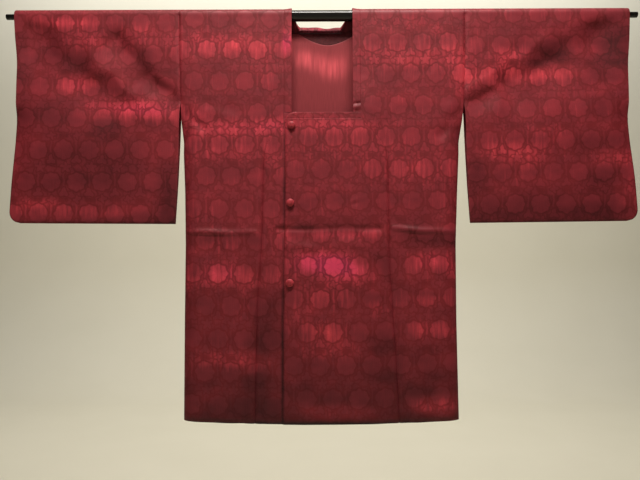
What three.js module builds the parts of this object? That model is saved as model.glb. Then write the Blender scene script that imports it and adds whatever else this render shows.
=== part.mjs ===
import * as THREE from 'three';

// A michiyuki coat, the square-necked silk coat worn over a kimono, hanging on a display rod that
// runs through both sleeves. Millimetres, +Z up. The origin is on the rod's axis at the neck, the
// front faces -Y and the wearer's left is +X.
//
// Every cloth piece is a thin wall. Its middle surface is worked out from x and from r, which runs
// down the cloth: -1 on the shoulder line above the rod, 0 where the cloth leaves the rod, and
// 1 at the lower edge. Sizes are those of the finished, sewn coat.

// ---- Driving dimensions ----

const ROD = {
  radius: 11.5,
  barrelLength: 1300, // the thick tube
  fullLength: 1346, // with the pin at each end that drops into an upright
  pinRadius: 6,
  sides: 32,
};

const CLOTH = {
  wall: 1.6, // silk, its seam turnings and its backing
  doubled: 2.4, // a folded band
  thin: 1.2, // satin lining
  seamGap: 0.3, // between two pieces at a seam, or one lying on another
  rodClearance: 0.6,
};

const BODY = {
  length: 856.8, // rod's axis to the hem at the centre
  hemRise: 7.3, // how much higher the hem is at the sides
  hemCurve: 2.2,
  sideTurn: 30, // width over which a side turns from front to back
  armholeDepth: 190, // the sleeve is sewn on from the shoulder to here
  sideSeamTop: 288, // between the two the side is open, under the arm
  sideClosing: 38, // the last stretch above the side seam, where the edges meet
};

// Half width of the hanging body, how far it leans to one side, and the half depth inside it.
const BODY_SECTIONS = [
  { drop: 0, halfWidth: 302.0, lean: 0.0, halfDepth: 12.9 },
  { drop: 60, halfWidth: 302.0, lean: 0.0, halfDepth: 13.0 },
  { drop: 190, halfWidth: 297.6, lean: 0.0, halfDepth: 13.8 },
  { drop: 233, halfWidth: 295.0, lean: -1.5, halfDepth: 14.0 },
  { drop: 278, halfWidth: 288.8, lean: -2.6, halfDepth: 14.2 },
  { drop: 298, halfWidth: 289.3, lean: -2.8, halfDepth: 14.3 },
  { drop: 382, halfWidth: 285.2, lean: -3.2, halfDepth: 14.8 },
  { drop: 490, halfWidth: 281.8, lean: -4.6, halfDepth: 15.0 },
  { drop: 655, halfWidth: 281.7, lean: -5.4, halfDepth: 14.6 },
  { drop: 860, halfWidth: 282.6, lean: -4.4, halfDepth: 14.0 },
];

const NECK = {
  halfWidth: 64.4,
  frontDrop: 212.7,
  backDrop: 20.5,
  sideBand: 15.9, // width of the folded band round the opening
  frontBand: 12.6, // the same band along the top of a front
  cornerRadius: 20, // free upper corner of a front
  facingDrop: 57, // lower edge of the band's facing inside the back
};

// The two fronts lap over each other. Each has a wide band down its edge, sewn on along a line
// that starts at the neck's corner and slants out to the hem.
const BAND_LINES = [
  { drop: 225, overSeam: 80.5, underSeam: 80.5, edge: 78.0 },
  { drop: 245, overSeam: 97.0, underSeam: 94.0, edge: 78.0 },
  { drop: 265, overSeam: 116.0, underSeam: 110.0, edge: 78.0 },
  { drop: 290, overSeam: 133.0, underSeam: 121.0, edge: 78.1 },
  { drop: 340, overSeam: 137.0, underSeam: 124.8, edge: 78.6 },
  { drop: 500, overSeam: 137.4, underSeam: 127.6, edge: 80.3 },
  { drop: 604, overSeam: 141.7, underSeam: 135.8, edge: 81.4 },
  { drop: 706, overSeam: 148.5, underSeam: 138.2, edge: 82.6 },
  { drop: 860, overSeam: 155.2, underSeam: 140.6, edge: 84.0 },
];

const LAP = {
  depth: 3.6, // how far the over-front stands off the under-front
  flatTo: 88, // full depth up to this x, and none past fadeTo
  fadeTo: 150,
  startDrop: 110, // none above this drop, full depth from fullDrop
  fullDrop: 204,
};

const SLEEVE = {
  length: 444,
  outerRise: 3, // how much higher the bottom is at the outer end
  bagCurve: 2, // 1 would close it evenly, like a wedge
  cuffDepth: 225, // the hand's opening, from the rod down
  cuffClosing: 40,
  edgeTurn: 45, // width over which the closed outer edge flattens
  cornerRadius: 25,
};

const SLEEVE_SECTIONS = [
  { drop: 0, inner: 302.3, outer: 651.0 },
  { drop: 60, inner: 302.3, outer: 648.5 },
  { drop: 110, inner: 300.7, outer: 645.0 },
  { drop: 190, inner: 298.0, outer: 644.5 },
  { drop: 212, inner: 300.7, outer: 645.0 },
  { drop: 278, inner: 302.0, outer: 647.5 },
  { drop: 362, inner: 304.7, outer: 653.0 },
  { drop: 444, inner: 308.5, outer: 657.0 },
];

const YOKE_LINING = { halfWidth: 140, lowerDrop: 330, sideRise: 35 };

const BUTTON = { radius: 8.25, height: 5.6, rim: 1.4, turns: 20 };
const BUTTONS = [
  { name: 'button_top', x: -64.4, drop: 240.0 },
  { name: 'button_middle', x: -67.2, drop: 402.4 },
  { name: 'button_lower', x: -68.6, drop: 568.3 },
];

// Folds: a line from one point to another, its half width, and how far the cloth stands out (or,
// if below 0, sinks in) along it. Places are x and drop. The same fold runs through the layers
// that lie on each other.
const FRONT_FOLDS = [
  { x1: -290, drop1: 464, x2: -140, drop2: 466, halfWidth: 15, height: 3.0 }, // storage fold
  { x1: 146, drop1: 458, x2: 286, drop2: 467, halfWidth: 15, height: 3.2 },
  { x1: -92, drop1: 458, x2: 118, drop2: 456, halfWidth: 15, height: -2.6 },
  { x1: -72, drop1: 492, x2: -20, drop2: 496, halfWidth: 14, height: 1.6 },
  { x1: -286, drop1: 216, x2: -246, drop2: 246, halfWidth: 13, height: -2.6 }, // under the arms
  { x1: 286, drop1: 220, x2: 250, drop2: 262, halfWidth: 15, height: -3.0 },
  { x1: -163, drop1: 610, x2: -168, drop2: 858, halfWidth: 16, height: -2.0 }, // beside the band
  { x1: 180, drop1: 560, x2: 192, drop2: 858, halfWidth: 20, height: 1.8 },
];
const BACK_FOLDS = [
  { x1: -286, drop1: 466, x2: 286, drop2: 461, halfWidth: 16, height: -2.8 },
  { x1: -150, drop1: 120, x2: -156, drop2: 858, halfWidth: 22, height: 1.8 },
  { x1: 158, drop1: 240, x2: 150, drop2: 858, halfWidth: 24, height: 2.0 },
  { x1: -282, drop1: 214, x2: -226, drop2: 262, halfWidth: 15, height: -2.6 },
  { x1: 284, drop1: 212, x2: 232, drop2: 254, halfWidth: 15, height: -2.4 },
];
// Sleeve folds slant from the outer shoulder down to the underarm. x is measured from the centre.
const SLEEVE_FOLDS = {
  sleeve_right_front: [
    { x1: 598, drop1: 30, x2: 436, drop2: 152, halfWidth: 22, height: -4.2 },
    { x1: 428, drop1: 48, x2: 306, drop2: 174, halfWidth: 20, height: -3.8 },
    { x1: 520, drop1: 60, x2: 380, drop2: 160, halfWidth: 24, height: 2.2 },
    { x1: 345, drop1: 408, x2: 326, drop2: 420, halfWidth: 16, height: -1.6 },
  ],
  sleeve_left_front: [
    { x1: 574, drop1: 26, x2: 388, drop2: 127, halfWidth: 22, height: -4.2 },
    { x1: 388, drop1: 127, x2: 303, drop2: 180, halfWidth: 18, height: -4.4 },
    { x1: 540, drop1: 84, x2: 372, drop2: 172, halfWidth: 24, height: 2.6 },
  ],
  sleeve_right_back: [
    { x1: 560, drop1: 34, x2: 372, drop2: 150, halfWidth: 24, height: -4.0 },
    { x1: 396, drop1: 60, x2: 306, drop2: 168, halfWidth: 20, height: -3.0 },
    { x1: 600, drop1: 210, x2: 470, drop2: 300, halfWidth: 26, height: 1.8 },
  ],
  sleeve_left_back: [
    { x1: 590, drop1: 40, x2: 430, drop2: 140, halfWidth: 24, height: -3.6 },
    { x1: 440, drop1: 60, x2: 306, drop2: 172, halfWidth: 22, height: -3.8 },
    { x1: 560, drop1: 230, x2: 420, drop2: 330, halfWidth: 26, height: 1.6 },
  ],
};

const COLOUR = { silk: 0x7d2b30, satin: 0x9a3f44, facing: 0x5c1d20, rod: 0x191611 };

// ---- Helpers ----

const FRONT = -1;
const BACK = 1;
const LEFT = 1; // the wearer's left
const RIGHT = -1;
const HALF_GAP = CLOTH.seamGap / 2;
const WRAP = ROD.radius + CLOTH.rodClearance + CLOTH.wall / 2; // middle of the cloth over the rod
const TOUCH = CLOTH.wall / 2 + HALF_GAP; // half depth where front and back lie together
const FRAME_OUTER = NECK.halfWidth + NECK.sideBand;

const mix = (a, b, t) => a + (b - a) * t;
const clamp01 = (t) => Math.min(1, Math.max(0, t));
const smooth = (t) => clamp01(t) ** 2 * (3 - 2 * clamp01(t));

/** Value of one column of a table at a drop, straight between its rows. */
function atDrop(table, column, drop) {
  const last = table.length - 1;
  let row = 0;
  while (row < last - 1 && table[row + 1].drop < drop) row += 1;
  const [above, below] = [table[row], table[row + 1]];
  return mix(above[column], below[column], clamp01((drop - above.drop) / (below.drop - above.drop)));
}

/** Evenly spaced values from a to b, both included. */
function steps(a, b, count) {
  return Array.from({ length: count + 1 }, (_, i) => mix(a, b, i / count));
}

/** How far a set of folds moves the cloth at (x, drop). */
function foldRelief(folds, x, drop) {
  let sum = 0;
  for (const fold of folds) {
    const along = new THREE.Vector2(fold.x2 - fold.x1, fold.drop2 - fold.drop1);
    const here = new THREE.Vector2(x - fold.x1, drop - fold.drop1);
    const t = here.dot(along) / along.lengthSq();
    const across = here.sub(along.clone().multiplyScalar(clamp01(t))).length() / fold.halfWidth;
    sum += fold.height * Math.exp(-across * across);
  }
  return sum;
}

/** Point of cloth that lies over the rod and hangs from it on one side. */
function overRod(x, side, r, length, depth, lift = 0) {
  if (r <= 0) {
    const angle = (1 + r) * Math.PI / 2;
    const radius = WRAP + lift;
    return new THREE.Vector3(x, side * radius * Math.sin(angle), radius * Math.cos(angle));
  }
  const drop = r * length;
  return new THREE.Vector3(x, side * (depth(x, drop) + lift), -drop);
}

/**
 * Closed wall of cloth. surface(c, r) is its middle, columns and rows are the values of c and r
 * at its grid lines, and turn is 1 or -1 so that the cross product of its two directions points
 * out. keep(c, r) tells, at the middle of a cell, whether the cloth is there.
 */
function clothWall(name, colour, { columns, rows, surface, wall, turn, keep = () => true }) {
  const positions = [];
  const indices = [];
  const corners = new Map();
  const step = 1e-3;
  const [cLow, cHigh] = [columns[0], columns[columns.length - 1]];
  const [rLow, rHigh] = [rows[0], rows[rows.length - 1]];

  function outward(c, r) {
    const across = surface(Math.min(cHigh, c + step), r).sub(surface(Math.max(cLow, c - step), r));
    const down = surface(c, Math.min(rHigh, r + step)).sub(surface(c, Math.max(rLow, r - step)));
    return across.cross(down).normalize().multiplyScalar(turn);
  }
  function corner(i, j) {
    const key = `${i},${j}`;
    if (!corners.has(key)) {
      const middle = surface(columns[i], rows[j]);
      const offset = outward(columns[i], rows[j]).multiplyScalar(wall / 2);
      corners.set(key, positions.length / 3);
      positions.push(...middle.clone().add(offset).toArray(), ...middle.clone().sub(offset).toArray());
    }
    return corners.get(key);
  }
  function quad(a, b, c, d) {
    indices.push(...(turn > 0 ? [a, b, c, a, c, d] : [c, b, a, d, c, a]));
  }
  function kept(i, j) {
    if (i < 0 || j < 0 || i >= columns.length - 1 || j >= rows.length - 1) return false;
    return keep((columns[i] + columns[i + 1]) / 2, (rows[j] + rows[j + 1]) / 2);
  }

  for (let j = 0; j < rows.length - 1; j += 1) {
    for (let i = 0; i < columns.length - 1; i += 1) {
      if (!kept(i, j)) continue;
      const ring = [corner(i, j), corner(i + 1, j), corner(i + 1, j + 1), corner(i, j + 1)];
      const beyond = [[i, j - 1], [i + 1, j], [i, j + 1], [i - 1, j]];
      quad(...ring);
      quad(...ring.map((p) => p + 1).reverse());
      beyond.forEach(([ni, nj], k) => {
        const [p, q] = [ring[k], ring[(k + 1) % 4]];
        if (!kept(ni, nj)) quad(q, p, p + 1, q + 1);
      });
    }
  }

  const geometry = new THREE.BufferGeometry();
  geometry.setAttribute('position', new THREE.Float32BufferAttribute(positions, 3));
  geometry.setIndex(indices);
  geometry.computeVertexNormals();
  return namedMesh(name, geometry, colour, 0.55, 0);
}

function namedMesh(name, geometry, colour, roughness, metalness) {
  const material = new THREE.MeshStandardMaterial({ color: colour, roughness, metalness });
  const mesh = new THREE.Mesh(geometry, material);
  mesh.name = name;
  return mesh;
}

// ---- Body ----

const hemDrop = (x) => BODY.length - BODY.hemRise * (Math.abs(x) / 282) ** BODY.hemCurve;
const halfWidthAt = (drop) => atDrop(BODY_SECTIONS, 'halfWidth', drop) - HALF_GAP;
const halfDepthAt = (drop) => atDrop(BODY_SECTIONS, 'halfDepth', drop);

/** 0 where the side is open above the side seam, 1 where front and back are sewn together. */
const sideClosed = (drop) => smooth((drop - BODY.sideSeamTop + BODY.sideClosing) / BODY.sideClosing);

/** Half depth at the very side: it narrows down the armhole and ends at the side seam. */
function edgeDepth(drop) {
  const atArmhole = sleeveTaper(Math.min(drop, BODY.armholeDepth));
  const closing = (drop - BODY.armholeDepth) / (BODY.sideSeamTop - BODY.armholeDepth);
  return mix(atArmhole, HALF_GAP, smooth(closing));
}

/** How far the over-front stands off, as it laps over the under-front. */
function lapDepth(x, drop) {
  const across = smooth((LAP.fadeTo - x) / (LAP.fadeTo - LAP.flatTo));
  const down = smooth((drop - LAP.startDrop) / (LAP.fullDrop - LAP.startDrop));
  return LAP.depth * across * down;
}

/** Half depth of the cloth away from the side turn. */
function bodyDepth(side, hand, x, drop) {
  const folds = side === FRONT ? FRONT_FOLDS : BACK_FOLDS;
  const lap = side === FRONT && hand === LEFT ? lapDepth(x, drop) : 0;
  const settled = smooth(drop / 40);
  return halfDepthAt(drop) + lap + settled * foldRelief(folds, x, drop);
}

/**
 * Surface of a body panel. c runs 0 to 1 from its inner line to the start of the side turn, and
 * 1 to 2 round the turn to the side seam. Above the side seam the turn opens into a plain edge.
 */
function bodyPanelSurface(side, hand, innerLine) {
  return (c, r) => {
    const level = Math.max(0, r) * BODY.length;
    const sideX = halfWidthAt(level);
    const turnX = sideX - BODY.sideTurn;
    const angle = (2 - Math.max(1, c)) * Math.PI / 2; // 90 degrees at the flat, 0 at the side
    const out = c <= 1 ? mix(innerLine(level), turnX, c) : turnX + BODY.sideTurn * Math.cos(angle);
    const x = hand * out + atDrop(BODY_SECTIONS, 'lean', level) * smooth(c);
    const openShape = Math.sin((Math.PI / 2) * clamp01((sideX - out) / BODY.sideTurn));
    const shape = mix(openShape, Math.sin(angle), sideClosed(level));
    const depth = (px, drop) => mix(edgeDepth(drop), bodyDepth(side, hand, px, drop), shape);
    return overRod(x, side, r, hemDrop(x), depth);
  };
}

const ARC_ROWS = steps(-1, 0, 4).slice(0, -1);
const SHOULDER_ROW = -1 + HALF_GAP / (WRAP * Math.PI / 2); // half a seam gap from the shoulder line
const BAND_TOP = NECK.frontDrop + NECK.frontBand + HALF_GAP;
// Levels of the body's grid lines, closer where the neck, the underarm and the storage fold are.
const BODY_LEVELS = [0, 60, 110, 160, 190, 212, BAND_TOP, 245, 265, 290, 335, 384, 430, 450, 465,
  480, 500, 550, 604, 660, 720, 790];
const bodyRows = (levels) => levels.map((level) => level / BODY.length);

function topRows() {
  return [SHOULDER_ROW, ...ARC_ROWS.slice(1)];
}

function frontPanel(name, hand) {
  const seam = hand === LEFT ? 'overSeam' : 'underSeam';
  const innerLine = (level) => atDrop(BAND_LINES, seam, level) + HALF_GAP;
  return clothWall(name, COLOUR.silk, {
    columns: [...steps(0, 1, 7), 1.3, 1.6, 1.8, 2],
    rows: [...topRows(), ...bodyRows(BODY_LEVELS), 1],
    surface: bodyPanelSurface(FRONT, hand, innerLine),
    wall: CLOTH.wall,
    turn: FRONT * hand,
  });
}

function backPanel(name, hand) {
  const innerLine = () => HALF_GAP;
  const neckBottom = NECK.backDrop + NECK.sideBand + HALF_GAP;
  const neckColumn = FRAME_OUTER / (halfWidthAt(0) - BODY.sideTurn - HALF_GAP);
  return clothWall(name, COLOUR.silk, {
    columns: [0, neckColumn / 2, ...steps(neckColumn, 1, 6), 1.3, 1.6, 1.8, 2],
    rows: [...topRows(), 0, neckBottom / hemDrop(0), ...bodyRows(BODY_LEVELS.slice(1)), 1],
    surface: bodyPanelSurface(BACK, hand, innerLine),
    wall: CLOTH.wall,
    turn: BACK * hand,
    keep: (c, r) => c > neckColumn || r > neckBottom / hemDrop(0),
  });
}

/** Distance from the centre to a front's free edge, with its rounded upper corner. */
function freeEdge(drop) {
  const intoCorner = clamp01(1 - (drop - NECK.frontDrop) / NECK.cornerRadius);
  return atDrop(BAND_LINES, 'edge', drop) - NECK.cornerRadius * (1 - Math.sqrt(1 - intoCorner ** 2));
}

/** A front's wide edge band: from its seam, past the centre, to its free edge. */
function frontBand(name, hand) {
  const seam = hand === LEFT ? 'overSeam' : 'underSeam';
  const surface = (c, level) => {
    const seamX = atDrop(BAND_LINES, seam, level) - HALF_GAP;
    const x = hand * mix(seamX, -freeEdge(level), c);
    const drop = level * (hemDrop(x) / BODY.length);
    return new THREE.Vector3(x, -bodyDepth(FRONT, hand, x, drop), -drop);
  };
  return clothWall(name, COLOUR.silk, {
    columns: steps(0, 1, 9),
    rows: [...BODY_LEVELS.filter((level) => level >= BAND_TOP), BODY.length],
    surface,
    wall: CLOTH.wall,
    turn: hand,
  });
}

// ---- Neck: the folded band round the square opening, and what is seen inside the back ----

/** Band beside the neck, from the front corner over the shoulder to the back. */
function neckFrameSide(name, hand) {
  const lift = (CLOTH.doubled - CLOTH.wall) / 2;
  const frontLength = NECK.frontDrop - HALF_GAP;
  const backLength = NECK.backDrop + NECK.sideBand - HALF_GAP;
  const surface = (x, q) => {
    const side = q < 0 ? FRONT : BACK;
    const depth = (px, drop) => bodyDepth(side, hand, px, drop);
    const length = side === FRONT ? frontLength : backLength;
    return overRod(hand * x, side, Math.abs(q) - 1, length, depth, lift);
  };
  return clothWall(name, COLOUR.silk, {
    columns: steps(NECK.halfWidth, FRAME_OUTER - HALF_GAP, 1),
    rows: [...steps(-2, -1, 6), ...steps(-1, 1, 8).slice(1), 1.5, 2],
    surface,
    wall: CLOTH.doubled,
    turn: hand,
  });
}

/** Band along the top of a front, up to its rounded free corner. */
function neckFrameFront(name, hand) {
  const lift = (CLOTH.doubled - CLOTH.wall) / 2;
  const top = NECK.frontDrop + HALF_GAP;
  const surface = (c, drop) => {
    const x = hand * mix(FRAME_OUTER - HALF_GAP, -freeEdge(drop), c);
    return new THREE.Vector3(x, -bodyDepth(FRONT, hand, x, drop) - lift, -drop);
  };
  return clothWall(name, COLOUR.silk, {
    columns: steps(0, 1, 8),
    rows: steps(top, NECK.frontDrop + NECK.frontBand - HALF_GAP, 2),
    surface,
    wall: hand === LEFT ? CLOTH.doubled : CLOTH.wall,
    turn: hand,
  });
}

/** A flat strip inside or on the back, given its half width and its upper and lower drops. */
function backStrip(name, colour, { halfWidth, upper, lower, wall, offset, columns, rows }) {
  const surface = (x, t) => {
    const drop = mix(upper(x), lower(x), t);
    return new THREE.Vector3(x, bodyDepth(BACK, LEFT, x, drop) + offset, -drop);
  };
  return clothWall(name, colour, {
    columns: steps(-halfWidth, halfWidth, columns),
    rows: steps(0, 1, rows),
    surface,
    wall,
    turn: 1,
  });
}

function neckFrameBack() {
  return backStrip('neck_frame_back', COLOUR.silk, {
    halfWidth: NECK.halfWidth - CLOTH.seamGap,
    upper: () => NECK.backDrop,
    lower: () => NECK.backDrop + NECK.sideBand - HALF_GAP,
    wall: CLOTH.doubled,
    offset: (CLOTH.doubled - CLOTH.wall) / 2,
    columns: 8,
    rows: 1,
  });
}

const INSIDE_BACK = -(CLOTH.wall + CLOTH.thin) / 2 - CLOTH.seamGap;

function neckFacing() {
  return backStrip('neck_facing', COLOUR.facing, {
    halfWidth: FRAME_OUTER,
    upper: () => NECK.backDrop,
    lower: () => NECK.facingDrop - HALF_GAP,
    wall: CLOTH.thin,
    offset: INSIDE_BACK,
    columns: 8,
    rows: 2,
  });
}

function yokeLining() {
  const { halfWidth, lowerDrop, sideRise } = YOKE_LINING;
  return backStrip('yoke_lining', COLOUR.satin, {
    halfWidth,
    upper: () => NECK.facingDrop + HALF_GAP,
    lower: (x) => lowerDrop - sideRise * (x / halfWidth) ** 2,
    wall: CLOTH.thin,
    offset: INSIDE_BACK,
    columns: 12,
    rows: 8,
  });
}

// ---- Sleeves ----

/** Half depth inside a sleeve: it hangs open from the rod and closes towards its bottom seam. */
function sleeveTaper(drop) {
  return mix(WRAP, TOUCH, clamp01(drop / SLEEVE.length) ** SLEEVE.bagCurve);
}

/** Distance from the centre to a sleeve's outer end, with the rounded lower corner. */
function sleeveOuter(drop) {
  const intoCorner = clamp01((drop - SLEEVE.length + SLEEVE.cornerRadius) / SLEEVE.cornerRadius);
  const rounding = SLEEVE.cornerRadius * (1 - Math.sqrt(1 - intoCorner ** 2));
  return atDrop(SLEEVE_SECTIONS, 'outer', drop) - rounding;
}

function sleeveHalf(name, hand, side) {
  const depth = (x, drop) => {
    const taper = sleeveTaper(drop);
    const fromEnd = clamp01((sleeveOuter(drop) - Math.abs(x)) / SLEEVE.edgeTurn);
    const closed = smooth((drop - SLEEVE.cuffDepth + SLEEVE.cuffClosing) / SLEEVE.cuffClosing);
    const bag = mix(taper, TOUCH, closed * (1 - Math.sin((Math.PI / 2) * fromEnd)));
    const loose = clamp01((bag - TOUCH) / 7) * smooth(drop / 30);
    const relief = foldRelief(SLEEVE_FOLDS[name], Math.abs(x), drop);
    return bag + loose * relief;
  };
  const surface = (c, r) => {
    const level = Math.max(0, r) * SLEEVE.length;
    const inner = atDrop(SLEEVE_SECTIONS, 'inner', level) + HALF_GAP;
    const outward = mix(inner, sleeveOuter(level), c);
    const length = SLEEVE.length - SLEEVE.outerRise * c;
    return overRod(hand * outward, side, r, length, depth);
  };
  const cornerRows = steps(SLEEVE.length - SLEEVE.cornerRadius, SLEEVE.length - 0.6, 3);
  const levels = [...steps(0, SLEEVE.length - SLEEVE.cornerRadius, 13).slice(0, -1), ...cornerRows];
  return clothWall(name, COLOUR.silk, {
    columns: [...steps(0, 0.87, 11), 0.935, 1],
    rows: [...topRows(), ...levels.map((level) => level / SLEEVE.length)],
    surface,
    wall: CLOTH.wall,
    turn: side * hand,
  });
}

// ---- Buttons and rod ----

/** Cloth-covered domed button, its flat back a seam gap off the over-front. */
function button({ name, x, drop }) {
  const { radius, height, rim, turns } = BUTTON;
  const dome = steps(0, Math.PI / 2, 5).map((a) => new THREE.Vector2(
    radius * Math.cos(a), rim + (height - rim) * Math.sin(a)));
  dome[dome.length - 1].x = 0;
  const profile = [new THREE.Vector2(0, 0), new THREE.Vector2(radius - rim, 0), ...dome];
  const geometry = new THREE.LatheGeometry(profile, turns);
  const mesh = namedMesh(name, geometry, COLOUR.silk, 0.5, 0);
  const ground = bodyDepth(FRONT, LEFT, x, drop) + CLOTH.wall / 2 + CLOTH.seamGap;
  mesh.rotation.x = Math.PI; // the dome's axis points forward, to -Y
  mesh.position.set(x, -ground, -drop);
  return mesh;
}

/** The rod that carries the coat: a tube with a thinner pin at each end. */
function rod() {
  const { radius, pinRadius, sides } = ROD;
  const [barrelEnd, pinEnd] = [ROD.barrelLength / 2, ROD.fullLength / 2];
  const profile = [[0, -pinEnd], [pinRadius, -pinEnd], [pinRadius, -barrelEnd], [radius, -barrelEnd],
    [radius, barrelEnd], [pinRadius, barrelEnd], [pinRadius, pinEnd], [0, pinEnd]];
  const points = profile.map(([across, along]) => new THREE.Vector2(across, along));
  const mesh = namedMesh('rod', new THREE.LatheGeometry(points, sides), COLOUR.rod, 0.25, 0.6);
  mesh.rotation.z = -Math.PI / 2;
  return mesh;
}

// ---- Assembly ----

const group = new THREE.Group();
group.add(
  rod(),
  backPanel('back_left', LEFT),
  backPanel('back_right', RIGHT),
  frontPanel('front_left', LEFT),
  frontPanel('front_right', RIGHT),
  frontBand('front_band_over', LEFT),
  frontBand('front_band_under', RIGHT),
  sleeveHalf('sleeve_left_front', LEFT, FRONT),
  sleeveHalf('sleeve_left_back', LEFT, BACK),
  sleeveHalf('sleeve_right_front', RIGHT, FRONT),
  sleeveHalf('sleeve_right_back', RIGHT, BACK),
  neckFrameSide('neck_frame_left', LEFT),
  neckFrameSide('neck_frame_right', RIGHT),
  neckFrameFront('neck_frame_over', LEFT),
  neckFrameFront('neck_frame_under', RIGHT),
  neckFrameBack(),
  neckFacing(),
  yokeLining(),
  ...BUTTONS.map(button),
);

export default group;
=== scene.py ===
"""Michiyuki kimono coat hanging by its sleeves on a display rod."""
import math
from functools import partial

import bpy
import numpy as np
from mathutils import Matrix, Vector


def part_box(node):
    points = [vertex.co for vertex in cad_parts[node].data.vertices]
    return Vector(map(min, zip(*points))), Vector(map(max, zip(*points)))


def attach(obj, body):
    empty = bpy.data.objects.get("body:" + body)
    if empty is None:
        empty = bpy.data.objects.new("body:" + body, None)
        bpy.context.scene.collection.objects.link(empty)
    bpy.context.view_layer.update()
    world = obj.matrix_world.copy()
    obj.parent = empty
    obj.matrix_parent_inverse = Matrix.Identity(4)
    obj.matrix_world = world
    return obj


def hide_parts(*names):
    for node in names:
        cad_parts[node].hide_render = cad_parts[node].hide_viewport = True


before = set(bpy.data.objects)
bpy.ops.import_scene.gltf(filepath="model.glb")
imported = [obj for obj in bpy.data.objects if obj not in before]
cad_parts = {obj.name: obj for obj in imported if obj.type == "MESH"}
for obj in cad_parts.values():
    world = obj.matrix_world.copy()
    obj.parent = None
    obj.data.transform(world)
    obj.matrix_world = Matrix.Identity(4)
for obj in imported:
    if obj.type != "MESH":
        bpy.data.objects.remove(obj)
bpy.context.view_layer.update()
MM = 0.001


# ------------------------------
# The rod. A steel tube with a thinner pin at each end that drops into an upright of the rack.
# Dipped in black enamel, so it is smooth, glossy and faintly rippled.

ROD_LOW, ROD_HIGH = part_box("rod")
ROD_RADIUS = (ROD_HIGH[2] - ROD_LOW[2]) / 2
ROD_BARREL = 1300 * MM
ROD_PIN_LENGTH = (ROD_HIGH[0] - ROD_LOW[0] - ROD_BARREL) / 2
ROD_PIN_RADIUS = 6 * MM
ROD_EDGE = 0.8 * MM


def srgb(hex_colour, alpha=1.0):
    """Linear RGBA of an sRGB hex value."""
    parts = [int(hex_colour[i:i + 2], 16) / 255 for i in (1, 3, 5)]
    linear = [p / 12.92 if p <= 0.04045 else ((p + 0.055) / 1.055) ** 2.4 for p in parts]
    return (*linear, alpha)


def add_node(tree, kind, inputs=None, operation=None, **settings):
    """Adds a shader node with its settings, sets or links its inputs, and returns it. Another
    node given as an input is linked by the first output that it has in use."""
    node = tree.nodes.new("ShaderNode" + kind)
    if operation:
        node.operation = operation
    for key, value in settings.items():
        setattr(node, key, value)
    for key, value in (inputs or {}).items():
        if isinstance(value, bpy.types.Node):
            value = next(output for output in value.outputs if output.enabled)
        if isinstance(value, bpy.types.NodeSocket):
            tree.links.new(value, node.inputs[key])
        else:
            node.inputs[key].default_value = value
    return node


def new_material(name):
    """An empty node material, and add_node for its tree."""
    material = bpy.data.materials.new(name)
    material.use_nodes = True
    material.node_tree.nodes.clear()
    return material, partial(add_node, material.node_tree)


def take_up(obj=None):
    """Leaves only this object selected and active, in object mode."""
    if bpy.context.object and bpy.context.object.mode != "OBJECT":
        bpy.ops.object.mode_set(mode="OBJECT")
    bpy.ops.object.select_all(action="DESELECT")
    if obj:
        obj.select_set(True)
        bpy.context.view_layer.objects.active = obj


def pick_faces(obj, chosen):
    """Goes into edit mode with only the chosen faces selected."""
    take_up(obj)
    bpy.ops.object.mode_set(mode="EDIT")
    bpy.ops.mesh.select_mode(type="FACE")
    bpy.ops.mesh.select_all(action="DESELECT")
    bpy.ops.object.mode_set(mode="OBJECT")
    obj.data.polygons.foreach_set("select", chosen)
    bpy.ops.object.mode_set(mode="EDIT")


def finish_with(obj, kind, **settings):
    """Adds a modifier with its settings and applies it."""
    take_up(obj)
    modifier = obj.modifiers.new(kind.lower(), kind)
    for key, value in settings.items():
        setattr(modifier, key, value)
    bpy.ops.object.modifier_apply(modifier=modifier.name)


def dress(piece, slot, cloths, *nodes):
    """Gives a piece its materials, outer side first, and hides the nodes that it stands for."""
    for cloth in cloths:
        piece.data.materials.append(cloth)
    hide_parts(*nodes)
    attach(piece, "root")


take_up()
bpy.ops.mesh.primitive_cylinder_add(
    vertices=96, radius=ROD_RADIUS, depth=ROD_BARREL, rotation=(0, math.pi / 2, 0))
rod = bpy.context.object
rod.name = "display_rod"
bpy.ops.object.transform_apply(location=True, rotation=True, scale=True)
for end in (-1, 1):
    pick_faces(rod, [face.center.x * end > ROD_BARREL / 2 - MM for face in rod.data.polygons])
    bpy.ops.mesh.inset(thickness=ROD_RADIUS - ROD_PIN_RADIUS)
    bpy.ops.mesh.extrude_region_move(
        TRANSFORM_OT_translate={"value": (end * ROD_PIN_LENGTH, 0, 0)})
    bpy.ops.object.mode_set(mode="OBJECT")
finish_with(rod, "BEVEL", width=ROD_EDGE, segments=3, limit_method="ANGLE")
take_up(rod)
bpy.ops.object.shade_smooth_by_angle(angle=math.radians(40))

# Stoved black enamel on steel: a dark, even coat with a clear gloss and slight orange peel.
rod_enamel, add = new_material("black_stoved_enamel")
rod_place = add("TexCoord").outputs["Object"]
peel = add("TexNoise", {"Vector": rod_place, "Scale": 1 / (9 * MM), "Detail": 2.0})
wear = add("TexNoise", {"Vector": rod_place, "Scale": 1 / (60 * MM), "Detail": 4.0})
wear_gloss = add("MapRange", {"Value": wear, "To Min": 0.14, "To Max": 0.26})
wear_colour = add("Mix", {
    "Factor": wear, 6: srgb("#0a0807"), 7: srgb("#17130f")}, data_type="RGBA")
enamel_bump = add("Bump", {"Height": peel, "Strength": 0.02, "Distance": 0.2 * MM})
enamel = add("BsdfPrincipled", {
    "Base Color": wear_colour, "Roughness": wear_gloss, "Specular IOR Level": 0.35,
    "Normal": enamel_bump})
add("OutputMaterial", {"Surface": enamel})
dress(rod, "black_lacquer", [rod_enamel], "rod")


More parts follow.
